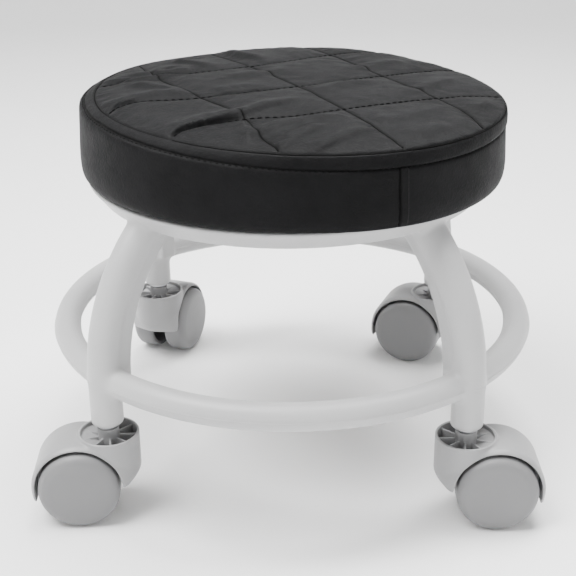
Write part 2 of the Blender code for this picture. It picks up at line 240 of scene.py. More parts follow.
def skin(field, origin, step):
    """The closed quad mesh round the negative part of a sampled distance field."""
    inside = field < 0
    cells = tuple(size - 1 for size in field.shape)
    count = np.zeros(cells, np.uint8)
    for i in (0, 1):
        for j in (0, 1):
            for k in (0, 1):
                count += inside[i : i + cells[0], j : j + cells[1], k : k + cells[2]]
    active = (count > 0) & (count < 8)
    cell = np.argwhere(active)
    index = np.full(cells, -1, np.int32)
    index[active] = np.arange(len(cell))
    total = np.zeros((len(cell), 3))
    hits = np.zeros(len(cell))
    for axis in range(3):
        first, second = [other for other in range(3) if other != axis]
        for i in (0, 1):
            for j in (0, 1):
                low = np.zeros(3, int)
                low[first] = i
                low[second] = j
                high = low.copy()
                high[axis] = 1
                start = field[tuple((cell + low).T)]
                end = field[tuple((cell + high).T)]
                crosses = (start < 0) != (end < 0)
                share = np.where(crosses, start / np.where(crosses, start - end, 1), 0)
                total += crosses[:, None] * (low + share[:, None] * (high - low))
                hits += crosses
    points = np.array(origin) + (cell + total / hits[:, None]) * step
    faces = []
    for axis in range(3):
        u = np.eye(3, dtype=int)[(axis + 1) % 3]
        v = np.eye(3, dtype=int)[(axis + 2) % 3]
        ahead = np.eye(3, dtype=int)[axis]
        node = np.argwhere(active)
        node = node[(node[:, (axis + 1) % 3] > 0) & (node[:, (axis + 2) % 3] > 0)]
        low = inside[tuple(node.T)]
        high = inside[tuple((node + ahead).T)]
        for wanted, order in ((low & ~high, (u + v, v, 0 * u, u)), (~low & high, (u + v, u, 0 * u, v))):
            at = node[wanted]
            faces.append(np.stack([index[tuple((at - back).T)] for back in order], 1))
    return points, np.concatenate(faces).tolist()


# ---------------------------------------------------------------- materials


class Look:
    """A Principled material and short ways to add nodes to it."""

    def __init__(self, name, roughness, metallic=0.0):
        self.material = bpy.data.materials.new(name)
        self.material.use_nodes = True
        self.tree = self.material.node_tree
        self.shader = self.tree.nodes["Principled BSDF"]
        self.shader.inputs["Roughness"].default_value = roughness
        self.shader.inputs["Metallic"].default_value = metallic
        self.place = self.tree.nodes.new("ShaderNodeTexCoord").outputs["Object"]

    def set(self, **values):
        for name, value in values.items():
            self.shader.inputs[name.replace("_", " ")].default_value = value

    def stretched(self, scale):
        node = self.tree.nodes.new("ShaderNodeMapping")
        node.inputs["Scale"].default_value = scale
        self.tree.links.new(self.place, node.inputs["Vector"])
        return node.outputs["Vector"]

    def noise(self, scale, detail=3.0, rough=0.5, place=None):
        node = self.tree.nodes.new("ShaderNodeTexNoise")
        node.inputs["Scale"].default_value = scale
        node.inputs["Detail"].default_value = detail
        node.inputs["Roughness"].default_value = rough
        self.tree.links.new(place or self.place, node.inputs["Vector"])
        return node.outputs["Fac"]

    def cells(self, scale, feature="F1"):
        node = self.tree.nodes.new("ShaderNodeTexVoronoi")
        node.feature = feature
        node.inputs["Scale"].default_value = scale
        self.tree.links.new(self.place, node.inputs["Vector"])
        return node.outputs["Distance"]

    def attribute(self, name):
        node = self.tree.nodes.new("ShaderNodeAttribute")
        node.attribute_name = name
        return node.outputs["Fac"]

    def ramp(self, value, stops):
        node = self.tree.nodes.new("ShaderNodeValToRGB")
        elements = node.color_ramp.elements
        while len(elements) < len(stops):
            elements.new(0.5)
        for element, (place, colour) in zip(elements, stops):
            element.position = place
            element.color = (*colour, 1.0)
        self.tree.links.new(value, node.inputs["Fac"])
        return node.outputs["Color"]

    def mix(self, share, first, second):
        node = self.tree.nodes.new("ShaderNodeMix")
        node.data_type = "RGBA"
        self.tree.links.new(share, node.inputs[0])
        for socket, value in ((node.inputs[6], first), (node.inputs[7], second)):
            if isinstance(value, tuple):
                socket.default_value = (*value, 1.0)
            else:
                self.tree.links.new(value, socket)
        return node.outputs[2]

    def sum(self, first, second, weight):
        node = self.tree.nodes.new("ShaderNodeMath")
        node.operation = "MULTIPLY_ADD"
        self.tree.links.new(second, node.inputs[0])
        node.inputs[1].default_value = weight
        self.tree.links.new(first, node.inputs[2])
        return node.outputs[0]

    def span(self, value, low, high):
        node = self.tree.nodes.new("ShaderNodeMapRange")
        node.inputs["To Min"].default_value = low
        node.inputs["To Max"].default_value = high
        self.tree.links.new(value, node.inputs["Value"])
        return node.outputs["Result"]

    def bump(self, height, strength, distance):
        node = self.tree.nodes.new("ShaderNodeBump")
        node.inputs["Strength"].default_value = strength
        node.inputs["Distance"].default_value = distance
        self.tree.links.new(height, node.inputs["Height"])
        self.tree.links.new(node.outputs["Normal"], self.shader.inputs["Normal"])

    def link(self, name, output):
        self.tree.links.new(output, self.shader.inputs[name])


def moulded(name, light, dark, roughness):
    """Satin moulded plastic: fine spark texture, faint flow tone and a little handling wear."""
    look = Look(name, roughness)
    flow = look.noise(14.0, 4.0, 0.55)
    speck = look.noise(900.0, 2.0)
    tone = look.ramp(flow, ((0.3, dark), (0.72, light)))
    look.link("Base Color", look.mix(look.span(speck, 0.0, 0.25), tone, tuple(c * 0.94 for c in light)))
    scuffs = look.noise(60.0, 6.0, 0.7, look.stretched((1.0, 1.0, 4.0)))
    look.link("Roughness", look.span(scuffs, roughness - 0.07, roughness + 0.12))
    grain = look.sum(look.noise(2600.0, 2.0), look.cells(1500.0), 0.6)
    look.bump(grain, 0.10, 0.0002)
    look.set(IOR=1.5)
    return look.material


def leatherette():
    """Black PU leather: pebbled grain, painted shade darkening the seam and rim grooves, paler where hands
    and legs rub it.
    """
    look = Look("scene_leatherette", 0.45)
    wear = look.noise(22.0, 5.0, 0.6)
    tone = look.ramp(wear, ((0.3, (0.0035, 0.0035, 0.0037)), (0.75, (0.0075, 0.0075, 0.0080))))
    pores = look.cells(1100.0)
    tone = look.mix(look.span(pores, 0.0, 0.35), tone, (0.0018, 0.0018, 0.0020))
    # painted shade: darkens the leather towards near-black in the seam and rim grooves, where shade falls
    look.link("Base Color", look.mix(look.attribute("painted_seam_shade"), tone, (0.0008, 0.0008, 0.0008)))
    look.link("Roughness", look.span(look.noise(130.0, 4.0, 0.6), 0.52, 0.72))
    grain = look.sum(look.cells(1000.0, "SMOOTH_F1"), look.cells(430.0, "SMOOTH_F1"), 0.9)
    grain = look.sum(grain, look.noise(2400.0, 3.0), 0.35)
    look.bump(grain, 0.32, 0.0005)
    look.set(Sheen_Weight=0.01, Sheen_Roughness=0.45, Specular_IOR_Level=0.07)
    return look.material


def thread():
    """Black bonded thread with a twist."""
    look = Look("scene_thread", 0.85)
    strand = look.noise(3000.0, 1.0, 0.5, look.stretched((1.0, 1.0, 3.0)))
    tones = ((0.3, (0.0012, 0.0012, 0.0012)), (0.8, (0.0035, 0.0035, 0.0035)))
    look.link("Base Color", look.ramp(strand, tones))
    look.bump(strand, 0.5, 0.0002)
    look.set(Specular_IOR_Level=0.05)
    return look.material


def zinc():
    """Zinc plated steel with fine turning marks and cloudy tone."""
    look = Look("scene_zinc", 0.32, 1.0)
    cloud = look.noise(120.0, 4.0)
    look.link("Base Color", look.ramp(cloud, ((0.3, (0.50, 0.50, 0.52)), (0.7, (0.68, 0.68, 0.69)))))
    turning = look.noise(900.0, 2.0, 0.5, look.stretched((0.2, 0.2, 6.0)))
    look.link("Roughness", look.span(turning, 0.22, 0.45))
    look.bump(turning, 0.12, 0.0001)
    return look.material


def plywood():
    """Raw birch plywood, seen through the hole in the dish."""
    look = Look("scene_plywood", 0.7)
    rings = look.noise(16.0, 6.0, 0.65, look.stretched((1.0, 9.0, 9.0)))
    fleck = look.noise(420.0, 3.0, 0.6, look.stretched((1.0, 12.0, 12.0)))
    tones = ((0.25, (0.46, 0.31, 0.16)), (0.55, (0.66, 0.48, 0.29)), (0.8, (0.74, 0.58, 0.38)))
    wood = look.ramp(rings, tones)
    look.link("Base Color", look.mix(look.span(fleck, 0.0, 0.5), wood, (0.40, 0.26, 0.13)))
    look.bump(fleck, 0.3, 0.0003)
    return look.material


FRAME_LOOK = moulded("scene_frame_plastic", (0.425, 0.425, 0.425), (0.385, 0.385, 0.39), 0.40)
HOUSING_LOOK = moulded("scene_caster_plastic", (0.285, 0.285, 0.285), (0.255, 0.255, 0.26), 0.42)
WHEEL_LOOK = moulded("scene_wheel_plastic", (0.175, 0.175, 0.175), (0.155, 0.155, 0.16), 0.47)
LEATHER_LOOK = leatherette()
THREAD_LOOK = thread()
ZINC_LOOK = zinc()
PLYWOOD_LOOK = plywood()


# ---------------------------------------------------------------- moulded frame

FRAME_LOW, FRAME_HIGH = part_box("frame")
STEM_LOW, STEM_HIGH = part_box("caster_fr_stem")
STEM_OUT = math.hypot((STEM_LOW.x + STEM_HIGH.x) / 2, (STEM_LOW.y + STEM_HIGH.y) / 2)
FRAME_STEP = 0.0011
RING_TUBE = 0.0084
RING_OUT = FRAME_HIGH.x - RING_TUBE
RING_Z = 0.0909
LEG_TUBE = 0.0099
LEG_BEND_Z = 0.0926
LEG_BEND = 0.122
WEB_HALF = 0.0070
WEB_BEND = 0.1115
WEB_CENTRE = 0.0268
WEB_BOTTOM = 0.087
DISH_TOP = FRAME_HIGH.z
DISH_HALF = 0.0015
SKIRT_TOP = (0.1287, DISH_TOP - DISH_HALF)
SKIRT_BOTTOM = (0.1213, 0.1825)
HOLE_OUT = 0.0415
RIB_BOTTOM = 0.1826
BOSS_OUT = 0.085
BOSS_RADIUS = 0.006
SCREW_HOLE = 0.0023
SOCKET_RADIUS = 0.00605
SOCKET_TOP = 0.0878
FILLET = 0.004


def frame_field(x, y, z):
    """Distance to the moulded frame, for one quarter of it."""
    low, high = np.minimum(x, y), np.maximum(x, y)
    radius = np.hypot(x, y)
    out = (x + y) / math.sqrt(2)
    side = (x - y) / math.sqrt(2)
    bowed = z > LEG_BEND_Z
    centre = STEM_OUT - LEG_BEND
    bow = np.where(bowed, np.hypot(out - centre, z - LEG_BEND_Z) - LEG_BEND, out - STEM_OUT)
    inner = np.where(bowed, np.hypot(out - WEB_CENTRE, z - LEG_BEND_Z), out - WEB_CENTRE)
    leg = np.hypot(bow, side) - LEG_TUBE
    leg = blend_max(leg, FRAME_LOW.z - z, 0.0015)
    leg = np.maximum(leg, z - SKIRT_TOP[1])
    web = blend_max(bow, WEB_BEND - inner, 0.002)
    web = blend_max(web, np.abs(side) - WEB_HALF, 0.003)
    web = blend_max(web, WEB_BOTTOM - z, 0.002)
    web = np.maximum(web, z - SKIRT_TOP[1])
    ring = np.hypot(radius - RING_OUT, z - RING_Z) - RING_TUBE
    dish = segment(radius, z, (HOLE_OUT, SKIRT_TOP[1]), SKIRT_TOP, DISH_HALF)
    dish = np.minimum(dish, segment(radius, z, SKIRT_TOP, SKIRT_BOTTOM, DISH_HALF))
    collar = segment(radius, z, (HOLE_OUT, SKIRT_TOP[1]), (HOLE_OUT, SKIRT_BOTTOM[1]), DISH_HALF)
    dish = np.minimum(dish, collar)
    rib = np.maximum(low - 0.0012, RIB_BOTTOM - z)
    rib = np.maximum(rib, np.maximum(HOLE_OUT - high, high - SKIRT_BOTTOM[0]))
    rib = np.maximum(rib, z - SKIRT_TOP[1])
    boss = np.hypot(high - BOSS_OUT, low) - BOSS_RADIUS
    boss = np.maximum(boss, np.maximum(RIB_BOTTOM - z, z - SKIRT_TOP[1]))
    legs = blend_min(leg, web, 0.0015)
    whole = blend_min(blend_min(legs, ring, FILLET), dish, FILLET)
    whole = blend_min(whole, blend_min(rib, boss, 0.001), 0.001)
    hole = np.hypot(high - BOSS_OUT, low) - SCREW_HOLE
    socket = np.maximum(np.hypot(out - STEM_OUT, side) - SOCKET_RADIUS, z - SOCKET_TOP)
    return np.maximum(whole, -np.minimum(hole, socket))


def build_frame():
    reach = np.arange(0, FRAME_HIGH.x + 4 * FRAME_STEP, FRAME_STEP, dtype=np.float32)
    lowest, highest = FRAME_LOW.z - 3 * FRAME_STEP, FRAME_HIGH.z + 4 * FRAME_STEP
    rise = np.arange(lowest, highest, FRAME_STEP, dtype=np.float32)
    quarter = frame_field(*np.meshgrid(reach, reach, rise, indexing="ij"))
    half = np.concatenate([quarter[:0:-1], quarter], 0)
    whole = np.concatenate([half[:, :0:-1], half], 1)
    points, faces = skin(whole, (-reach[-1], -reach[-1], rise[0]), FRAME_STEP)
    made = piece("moulded_frame", points, faces, FRAME_LOOK)
    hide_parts("frame")

    line_radius = 0.00032
    turns = np.linspace(0, 2 * math.pi, 360, endpoint=False)
    lines = []
    for edge in (RING_OUT + RING_TUBE, RING_OUT - RING_TUBE):
        place = np.stack([edge * np.cos(turns), edge * np.sin(turns), 0 * turns + RING_Z], 1)
        lines.append(cord(place, line_radius, 6, closed=True))
    for quarter in range(4):
        angle = math.pi * (quarter / 2 + 0.25)
        foot = STEM_OUT * np.array([math.cos(angle), math.sin(angle)])
        around = turns[::6]
        place = np.stack(
            [
                foot[0] + LEG_TUBE * np.cos(around),
                foot[1] + LEG_TUBE * np.sin(around),
                0 * around + RING_Z,
            ],
            1,
        )
        lines.append(cord(place, line_radius, 6, closed=True))
    parting = piece("frame_parting_line", *joined(lines), FRAME_LOOK)


# ---------------------------------------------------------------- casters

CASTER_STEP = 0.0004
WHEEL_RADIUS = 0.025
TRAIL = math.dist(JOINTS["caster_fl_swivel"]["pos_m"][:2], JOINTS["caster_fl_wheel_left_spin"]["pos_m"][:2])
HOOD_RADIUS = 0.0294
HOOD_INSIDE = 0.027
HOOD_HALF = 0.0196
HOOD_EDGE = 0.0058
TAIL_Z = 0.0180
NOSE_Z = 0.0262
HUB_RADIUS = 0.0187
HUB_TOP = 0.0560
HUB_BOTTOM = 0.0244
HUB_EDGE = 0.0090
POCKET_RADIUS = 0.0171
POCKET_BOTTOM = 0.0305
POCKET_FLOOR = 0.0288
CASTER_BOSS_RADIUS = 0.0066
CASTER_BOSS_TOP = 0.0598
CASTER_RIBS = 9
CASTER_RIB_TOP = 0.0536
CASTER_WEB_HALF = 0.0050
CASTER_RIB_HALF = 0.00058
STEM_BORE = 0.0043
STEM_BORE_BOTTOM = 0.0402
AXLE_BORE = 0.0028
WHEEL_INNER = 0.0056
WHEEL_OUTER = 0.0228
WHEEL_FACE = 0.0202
WHEEL_CORNER = 0.0054
WHEEL_BORE_END = 0.0190
COLLAR_RADIUS = 0.0066
STEM_UPPER = 0.0055
STEM_LOWER = 0.0040
STEM_GROOVE = 0.0046


def housing_field(x, y, z):
    """Distance to a caster's housing: X from the stem back over the wheels, Y along the axle."""
    back = x - TRAIL
    roll = np.hypot(back, z - WHEEL_RADIUS)
    around = np.hypot(x, y)
    body = rounded_drum(roll, y, HOOD_RADIUS, HOOD_HALF, HOOD_EDGE)
    middle, half = (HUB_TOP + HUB_BOTTOM) / 2, (HUB_TOP - HUB_BOTTOM) / 2
    hub = rounded_drum(around, z - middle, HUB_RADIUS, half, 0.0007)
    low = rounded_drum(around, z - middle, HUB_RADIUS, half, HUB_EDGE)
    hub = np.where(z < middle, low, hub)
    body = blend_min(body, hub, 0.002 + 0.006 * np.clip((0.040 - z) / 0.010, 0, 1))
    pocket = np.maximum(around - POCKET_RADIUS, POCKET_BOTTOM - z)
    pocket = np.maximum(pocket, POCKET_FLOOR - roll)
    body = blend_max(body, -pocket, 0.0006)
    boss = np.maximum(around - CASTER_BOSS_RADIUS, z - CASTER_BOSS_TOP)
    boss = np.maximum(boss, POCKET_BOTTOM - 0.001 - z)
    pitch = 2 * math.pi / CASTER_RIBS
    sector = np.abs(np.arctan2(y, x) % pitch - pitch / 2)
    rib = np.maximum(around * np.sin(sector) - CASTER_RIB_HALF, around - POCKET_RADIUS - 0.0006)
    rib = np.maximum(rib, z - CASTER_RIB_TOP)
    rib = np.maximum(rib, POCKET_BOTTOM - 0.001 - z)
    body = np.minimum(body, blend_min(boss, rib, 0.0008))
    well = np.maximum(roll - HOOD_INSIDE, CASTER_WEB_HALF - np.abs(y))
    body = blend_max(body, -well, 0.0011)
    slope = (NOSE_Z - TAIL_Z) / 0.040
    edge = np.clip(NOSE_Z - slope * (x + 0.006), TAIL_Z, NOSE_Z)
    body = blend_max(body, edge - z, 0.0007)
    bore = np.maximum(around - STEM_BORE, STEM_BORE_BOTTOM - z)
    return np.maximum(body, -np.minimum(bore, roll - AXLE_BORE))


def housing_shape():
    x = np.arange(-0.022, 0.051, CASTER_STEP)
    y = np.arange(-0.0220, 0.0221, CASTER_STEP)
    z = np.arange(0.0140, 0.0640, CASTER_STEP)
    field = housing_field(*np.meshgrid(x, y, z, indexing="ij"))
    return skin(field, (x[0], y[0], z[0]), CASTER_STEP)


def wheel_shape():
    """A wheel turned about Z, its domed face up and its open side down."""
    radii = np.linspace(0, WHEEL_FACE, 9)
    face = [(radius, WHEEL_OUTER - 0.0006 * (radius / WHEEL_FACE) ** 2) for radius in radii]
    corner = WHEEL_CORNER
    centre = (WHEEL_RADIUS - corner, WHEEL_OUTER - 0.0007 - corner)
    shoulder = [
        (centre[0] + corner * math.cos(turn), centre[1] + corner * math.sin(turn))
        for turn in np.linspace(math.radians(78), 0, 11)
    ]
    tread = [
        (WHEEL_RADIUS, WHEEL_INNER + 0.0025),
        (WHEEL_RADIUS - 0.0003, WHEEL_INNER + 0.0012),
        (WHEEL_RADIUS - 0.0012, WHEEL_INNER),
    ]
    floor = WHEEL_OUTER - 0.0042
    lip = WHEEL_INNER + 0.0004
    inside = [(0.0216, WHEEL_INNER), (0.0213, lip), (0.0209, floor), (0.0205, floor + 0.0003)]
    hub = [(0.0068, floor + 0.0003), (0.0064, floor), (0.0056, lip), (0.0052, WHEEL_INNER)]
    bore = [(AXLE_BORE, WHEEL_INNER), (AXLE_BORE, WHEEL_BORE_END), (0, WHEEL_BORE_END)]
    return lathe(face + shoulder + tread + inside + hub + bore)


def stem_shape():
    """The steel stem about Z: plain lower end, collar, grooved upper end."""
    low, high = CASTER_BOSS_TOP + 0.0003, FRAME_LOW.z - 0.0003
    outline = [
        (0, STEM_HIGH.z),
        (0.0043, STEM_HIGH.z),
        (STEM_UPPER, STEM_HIGH.z - 0.0012),
        (STEM_UPPER, 0.0828),
        (STEM_GROOVE, 0.0826),
        (STEM_GROOVE, 0.0800),
        (STEM_UPPER, 0.0798),
        (STEM_UPPER, high + 0.0001),
        (COLLAR_RADIUS - 0.0002, high),
        (COLLAR_RADIUS, high - 0.0002),
        (COLLAR_RADIUS, low + 0.0002),
        (COLLAR_RADIUS - 0.0002, low),
        (STEM_LOWER, low),
        (STEM_LOWER, STEM_LOW.z),
        (0, STEM_LOW.z),
    ]
    return lathe(outline, 48)


def shared(name, mesh, place, body, node):
    """A piece that shares one mesh, put in place and standing for a CAD node."""
    obj = put(name, mesh)
    obj.matrix_world = place
    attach(obj, body)
    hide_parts(node)
    return obj


def shared_mesh(name, shape, look):
    source = piece(name, *shape, look, None)
    mesh = source.data
    bpy.data.objects.remove(source)
    mesh.set_sharp_from_angle(angle=math.radians(50))
    return mesh


def build_casters():
    housing = shared_mesh("caster_housing", housing_shape(), HOUSING_LOOK)
    wheel = shared_mesh("caster_wheel", wheel_shape(), WHEEL_LOOK)
    stem = shared_mesh("caster_stem", stem_shape(), ZINC_LOOK)
    for corner in CORNERS:
        pivot = Vector(JOINTS[f"caster_{corner}_swivel"]["pos_m"])
        axle = Vector(JOINTS[f"caster_{corner}_wheel_left_spin"]["pos_m"])
        foot = Vector((pivot.x, pivot.y, 0))
        back = math.atan2(axle.y - pivot.y, axle.x - pivot.x)
        turn = Matrix.Rotation(back, 4, "Z")
        body = f"caster_{corner}"
        place = Matrix.Translation(foot)
        shared(f"{body}_hood", housing, place @ turn, body, f"{body}_housing")
        shared(f"{body}_stem_turned", stem, place, "root", f"{body}_stem")
        for side, quarter in (("left", -90), ("right", 90)):
            place = Matrix.Translation(axle) @ turn @ Matrix.Rotation(math.radians(quarter), 4, "X")
            node = f"{body}_wheel_{side}"
            shared(f"{node}_moulded", wheel, place, node, node)


# ---------------------------------------------------------------- cushion

BAND_LOW, BAND_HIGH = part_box("cover_side_band")
BOARD_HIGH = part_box("seat_board")[1]
BASE = np.array([(BAND_LOW.x + BAND_HIGH.x) / 2, (BAND_LOW.y + BAND_HIGH.y) / 2])
BAND_OUT = (BAND_HIGH.x - BAND_LOW.x) / 2
TOP_SHIFT = 0.0039
TOP_OUT = 0.1292
TOP_Z = 0.2400
TOP_LEAN = (-0.033, 0.013)
TOP_RISE = 0.0060
TOP_SWELLS = ((0.035, 0.115, 0.0021, 0.050), (-0.075, 0.095, -0.0015, 0.042))
STRIP_Z = 0.2355
STRIP_LEAN = (-0.0588, 0.038)
STRIP_OUT = 0.1328
BAND_SHIFT = -0.0008
HEM_SHIFT = -0.0013
HEM_DROP = 0.0026
HEM_RISE = 0.0008
HEM_IN = 0.104
HEM_THICK = 0.0012
TOP_CAP = 0.0011
BAND_CAP = 0.0005
PANEL_RISE = 0.0005
SMALL_WRINKLE = 0.00022
PLAIN_GROOVE = 0.0007
DASHED_GROOVE = 0.0005
RIM_GROOVE = 0.0009
BAND_WAVE = 0.0005
BAND_WRINKLE = 0.00025
TOP_STITCH = {"length": 0.0035, "pitch": 0.0045, "radius": 0.00058}
SIDE_STITCH = {"length": 0.0024, "pitch": 0.0036, "radius": 0.00032}
# The side from the strip's lower seam to the hem: share of the way down, inset from its widest.
BAND_CURVE = (
    (0.000, 0.0026),
    (0.020, 0.0020),
    (0.060, 0.0016),
    (0.150, 0.0014),
    (0.260, 0.0012),
    (0.380, 0.0010),
    (0.500, 0.0007),
    (0.610, 0.0004),
    (0.710, 0.0003),
    (0.800, 0.0004),
    (0.870, 0.0007),
    (0.925, 0.0012),
    (0.965, 0.0019),
    (0.990, 0.0029),
    (1.000, 0.0044),
)
LINE_ROW = 0.0010
CLOTH_STEP = 0.0032

DASHED_LINES = (
    ((-69, -108), (-60, -97), (-29, -78), (-2, -71), (27, -54), (85, -17), (108, -3), (129, 4)),
    ((-111, -66), (-107, -52), (-94, -42), (-59, -37), (-1, -8), (53, 31), (88, 61), (107, 73)),
    ((-129, -4), (-94, 15), (-35, 46), (19, 90), (55, 117)),
)
PLAIN_LINES = (
    ((-113, 63), (-94, 15), (-59, -37), (-44, -55), (-29, -78), (-21, -102), (-7, -129)),
    ((-69, 109), (-35, 46), (-1, -8), (27, -54), (45, -85), (60, -114)),
    ((-2, 129), (19, 90), (53, 31), (85, -17), (101, -45), (108, -71)),
)
FOLDS = (
    (
        3.8,
        10.0,
        3.2,
        ((-70, -104), (-62, -96), (-54, -90), (-43, -81), (-32, -72), (-17, -61), (-2, -48), (12, -34)),
    ),
    (2.6, 8.0, 2.8, ((-112, -55), (-107, -46), (-98, -38), (-84, -33), (-68, -31), (-56, -29))),
    (2.4, 7.0, 3.0, ((-124, 8), (-111, 5), (-98, 8), (-84, 17), (-72, 22))),
    (2.0, 8.0, 4.0, ((-106, -8), (-94, -14), (-80, -22), (-64, -30))),
    (1.8, 8.0, 4.0, ((-112, 16), (-98, 26), (-86, 36), (-70, 44))),
    (2.0, 4.0, 4.0, ((-30, -86), (-27, -104), (-25, -124))),
    (2.8, 8.0, 3.6, ((-26, -107), (-14, -99), (-3, -91), (9, -82), (26, -74), (40, -68))),
    (2.4, 7.0, 3.6, ((-8, -126), (3, -108), (12, -95), (24, -84))),
    (2.4, 7.0, 3.6, ((10, -126), (25, -110), (36, -96), (44, -84))),
    (2.0, 8.0, 4.5, ((76, -6), (84, 8), (93, 24), (104, 40))),
    (1.8, 7.0, 4.5, ((106, -36), (114, -24), (121, -8))),
    (2.6, 8.0, 4.0, ((-56, 104), (-44, 84), (-30, 66), (-17, 50))),
    (2.2, 7.0, 4.0, ((-88, 62), (-77, 54), (-64, 43), (-54, 34))),
    (2.0, 6.0, 4.0, ((-97, 20), (-84, 26), (-70, 38))),
    (2.0, 9.0, 5.0, ((-46, 4), (-32, 14), (-18, 26), (-8, 40))),
    (1.8, 9.0, 5.0, ((10, -22), (24, -9), (38, 2), (54, 12))),
    (1.7, 9.0, 5.0, ((-50, -30), (-38, -22), (-24, -14), (-14, -6))),
    (1.7, 9.0, 5.0, ((34, 42), (48, 54), (62, 70), (72, 84))),
    (1.8, 9.0, 4.5, ((46, -80), (62, -67), (78, -52), (90, -38))),
    (1.6, 9.0, 5.0, ((62, -98), (78, -84), (90, -70))),
)


def in_metres(points):
    return [(x / 1000, y / 1000) for x, y in points]


def top_height(place):
    """The seat top's height over points measured from its own centre."""
    out = np.clip(np.linalg.norm(place, axis=1) / TOP_OUT, 0, 1)
    height = TOP_Z + place @ np.array(TOP_LEAN) + TOP_RISE * (1 - out**2.2)
    for x, y, rise, width in TOP_SWELLS:
        height += rise * np.exp(-((place - (x, y)) ** 2).sum(1) / width**2)
    return height


def seam_lines():
    dashed = [smooth_line(in_metres(line), 0.0026) for line in DASHED_LINES]
    plain = [smooth_line(in_metres(line), 0.0026) for line in PLAIN_LINES]
    return dashed, plain


def rim_angles():
    """The columns round the cushion, closer together at the side band's join."""
    even = np.linspace(0, 2 * math.pi, 288, endpoint=False)
    extra = JOIN_ANGLE + np.radians([-0.75, -0.25, -0.1, 0.1, 0.25, 0.75, 1.9, 2.2, 2.5])
    return np.unique(np.round(np.concatenate([even, extra % (2 * math.pi)]), 6))


JOIN_ANGLE = math.radians(-62.6) % (2 * math.pi)


def quilt_sheet(lines, angles):
    """The quilted top as a flat mesh whose edges follow the seams: (points, triangles)."""
    rim = TOP_OUT * np.stack([np.cos(angles), np.sin(angles)], 1)
    inner = rim * (1 - LINE_ROW / TOP_OUT)
    inner_two = rim * (1 - 2.6 * LINE_ROW / TOP_OUT)
    points = [rim, inner, inner_two]
    edges = [(index, (index + 1) % len(rim)) for index in range(len(rim))]
    start = 3 * len(rim)
    for line in lines:
        kept = line[1:-1]
        kept = kept[np.linalg.norm(kept, axis=1) < TOP_OUT - 3.2 * LINE_ROW]
        points.append(kept)
        edges += [(start + index, start + index + 1) for index in range(len(kept) - 1)]
        start += len(kept)
    for line in lines:
        step = np.gradient(line, axis=0)
        normal = np.stack([-step[:, 1], step[:, 0]], 1)
        normal /= np.linalg.norm(normal, axis=1)[:, None]
        for offset in (-LINE_ROW, LINE_ROW):
            row = line + offset * normal
            clear = np.linalg.norm(row, axis=1) < TOP_OUT - 3.2 * LINE_ROW
            for other in lines:
                if other is not line:
                    clear &= distance_to(row, other)[0] > 1.3 * LINE_ROW
            points.append(row[clear])
    count = int(2 * TOP_OUT / CLOTH_STEP)
    grid = []
    for row in range(-count, count + 1):
        for column in range(-count, count + 1):
            grid.append(((column + 0.5 * (row % 2)) * CLOTH_STEP, row * CLOTH_STEP * 0.866))
    grid = np.array(grid)
    clear = np.linalg.norm(grid, axis=1) < TOP_OUT - 4.2 * LINE_ROW
    for line in lines:
        clear &= distance_to(grid, line)[0] > 2.4 * LINE_ROW
    points.append(grid[clear])
    points = np.concatenate(points)
    found = delaunay_2d_cdt([Vector(point) for point in points], edges, [], 0, 1e-6)
    flat = np.array([tuple(point) for point in found[0]])
    return flat, [tuple(face) for face in found[2]]


def strip_height(x, y):
    """The height of the strip's lower seam, over points measured from the seat's centre."""
    front = -0.02 * np.logaddexp(0, -y / 0.02)
    across = 0.01 * np.logaddexp(0, (x + 0.105) / 0.01) - 0.105
    return STRIP_Z + STRIP_LEAN[0] * across * (1 - 0.6 * ease(y, 0, 0.1)) + STRIP_LEAN[1] * front


def side_rings(angles):
    """The rings below the quilted top, as (kind, points): strip, band, hem and the inside."""
    around = np.stack([np.cos(angles), np.sin(angles)], 1)
    top = np.column_stack([TOP_OUT * around, top_height(TOP_OUT * around)])
    top[:, 0] += TOP_SHIFT
    seam_z = strip_height(*(STRIP_OUT * around).T)
    low = np.column_stack([STRIP_OUT * around, seam_z])
    low[:, 0] += 0.0012
    rings = []
    for share in (0.1, 0.25, 0.45, 0.65, 0.82, 0.93, 1.0):
        ring = top * (1 - share) + low * share
        swell = 0.0007 * math.sin(math.pi * share) ** 0.8
        ring[:, :2] += swell * around
        ring[:, 2] += 0.6 * swell
        rings.append(("strip", ring))
    hem_z = BAND_LOW.z + 0.0002
    lip_z = hem_z - HEM_DROP * ease(around[:, 0], -0.1, 0.8)
    lip_z = lip_z + HEM_RISE * ease(-around[:, 0], 0.1, 0.9)
    for share, inset in BAND_CURVE:
        height = (seam_z - 0.0004) * (1 - share) + lip_z * share
        ring = np.column_stack([(BAND_OUT - inset) * around, height])
        ring[:, 0] += BAND_SHIFT * (1 - share) + HEM_SHIFT * share
        rings.append(("band", ring))
    top_z, corner = hem_z + HEM_THICK, HEM_IN + 0.0004
    inside = ((0.1290, hem_z), (0.118, hem_z), (corner, hem_z), (HEM_IN, hem_z + HEM_THICK / 2))
    ledge = ((corner, top_z), (0.1200, top_z), (0.1294, top_z))
    over = BOARD_HIGH.z + 0.0003
    for radius, height in inside + ledge + ((0.1294, over), (0.100, over)):
        rings.append(("inside", np.column_stack([radius * around, 0 * angles + height])))
    return rings


def cushion_shell(lines):
    """The cushion, open in the middle of its foam's underside: (points, faces, kind of each point)."""
    angles = rim_angles()
    flat, faces = quilt_sheet(lines, angles)
    columns = len(angles)
    top = np.column_stack([flat[:, 0] + TOP_SHIFT, flat[:, 1], top_height(flat)])
    points = [top]
    kinds = ["top"] * len(top)
    kinds[:columns] = ["rim"] * columns
    upper = list(range(columns))
    start = len(top)
    for kind, ring in side_rings(angles):
        points.append(ring)
        kinds += [kind] * columns
        lower = list(range(start, start + columns))
        for index in range(columns):
            after = (index + 1) % columns
            faces.append((upper[index], lower[index], lower[after], upper[after]))
        upper = lower
        start += columns
    points = np.concatenate(points)
    points[:, :2] += BASE
    return points, faces, np.array(kinds)


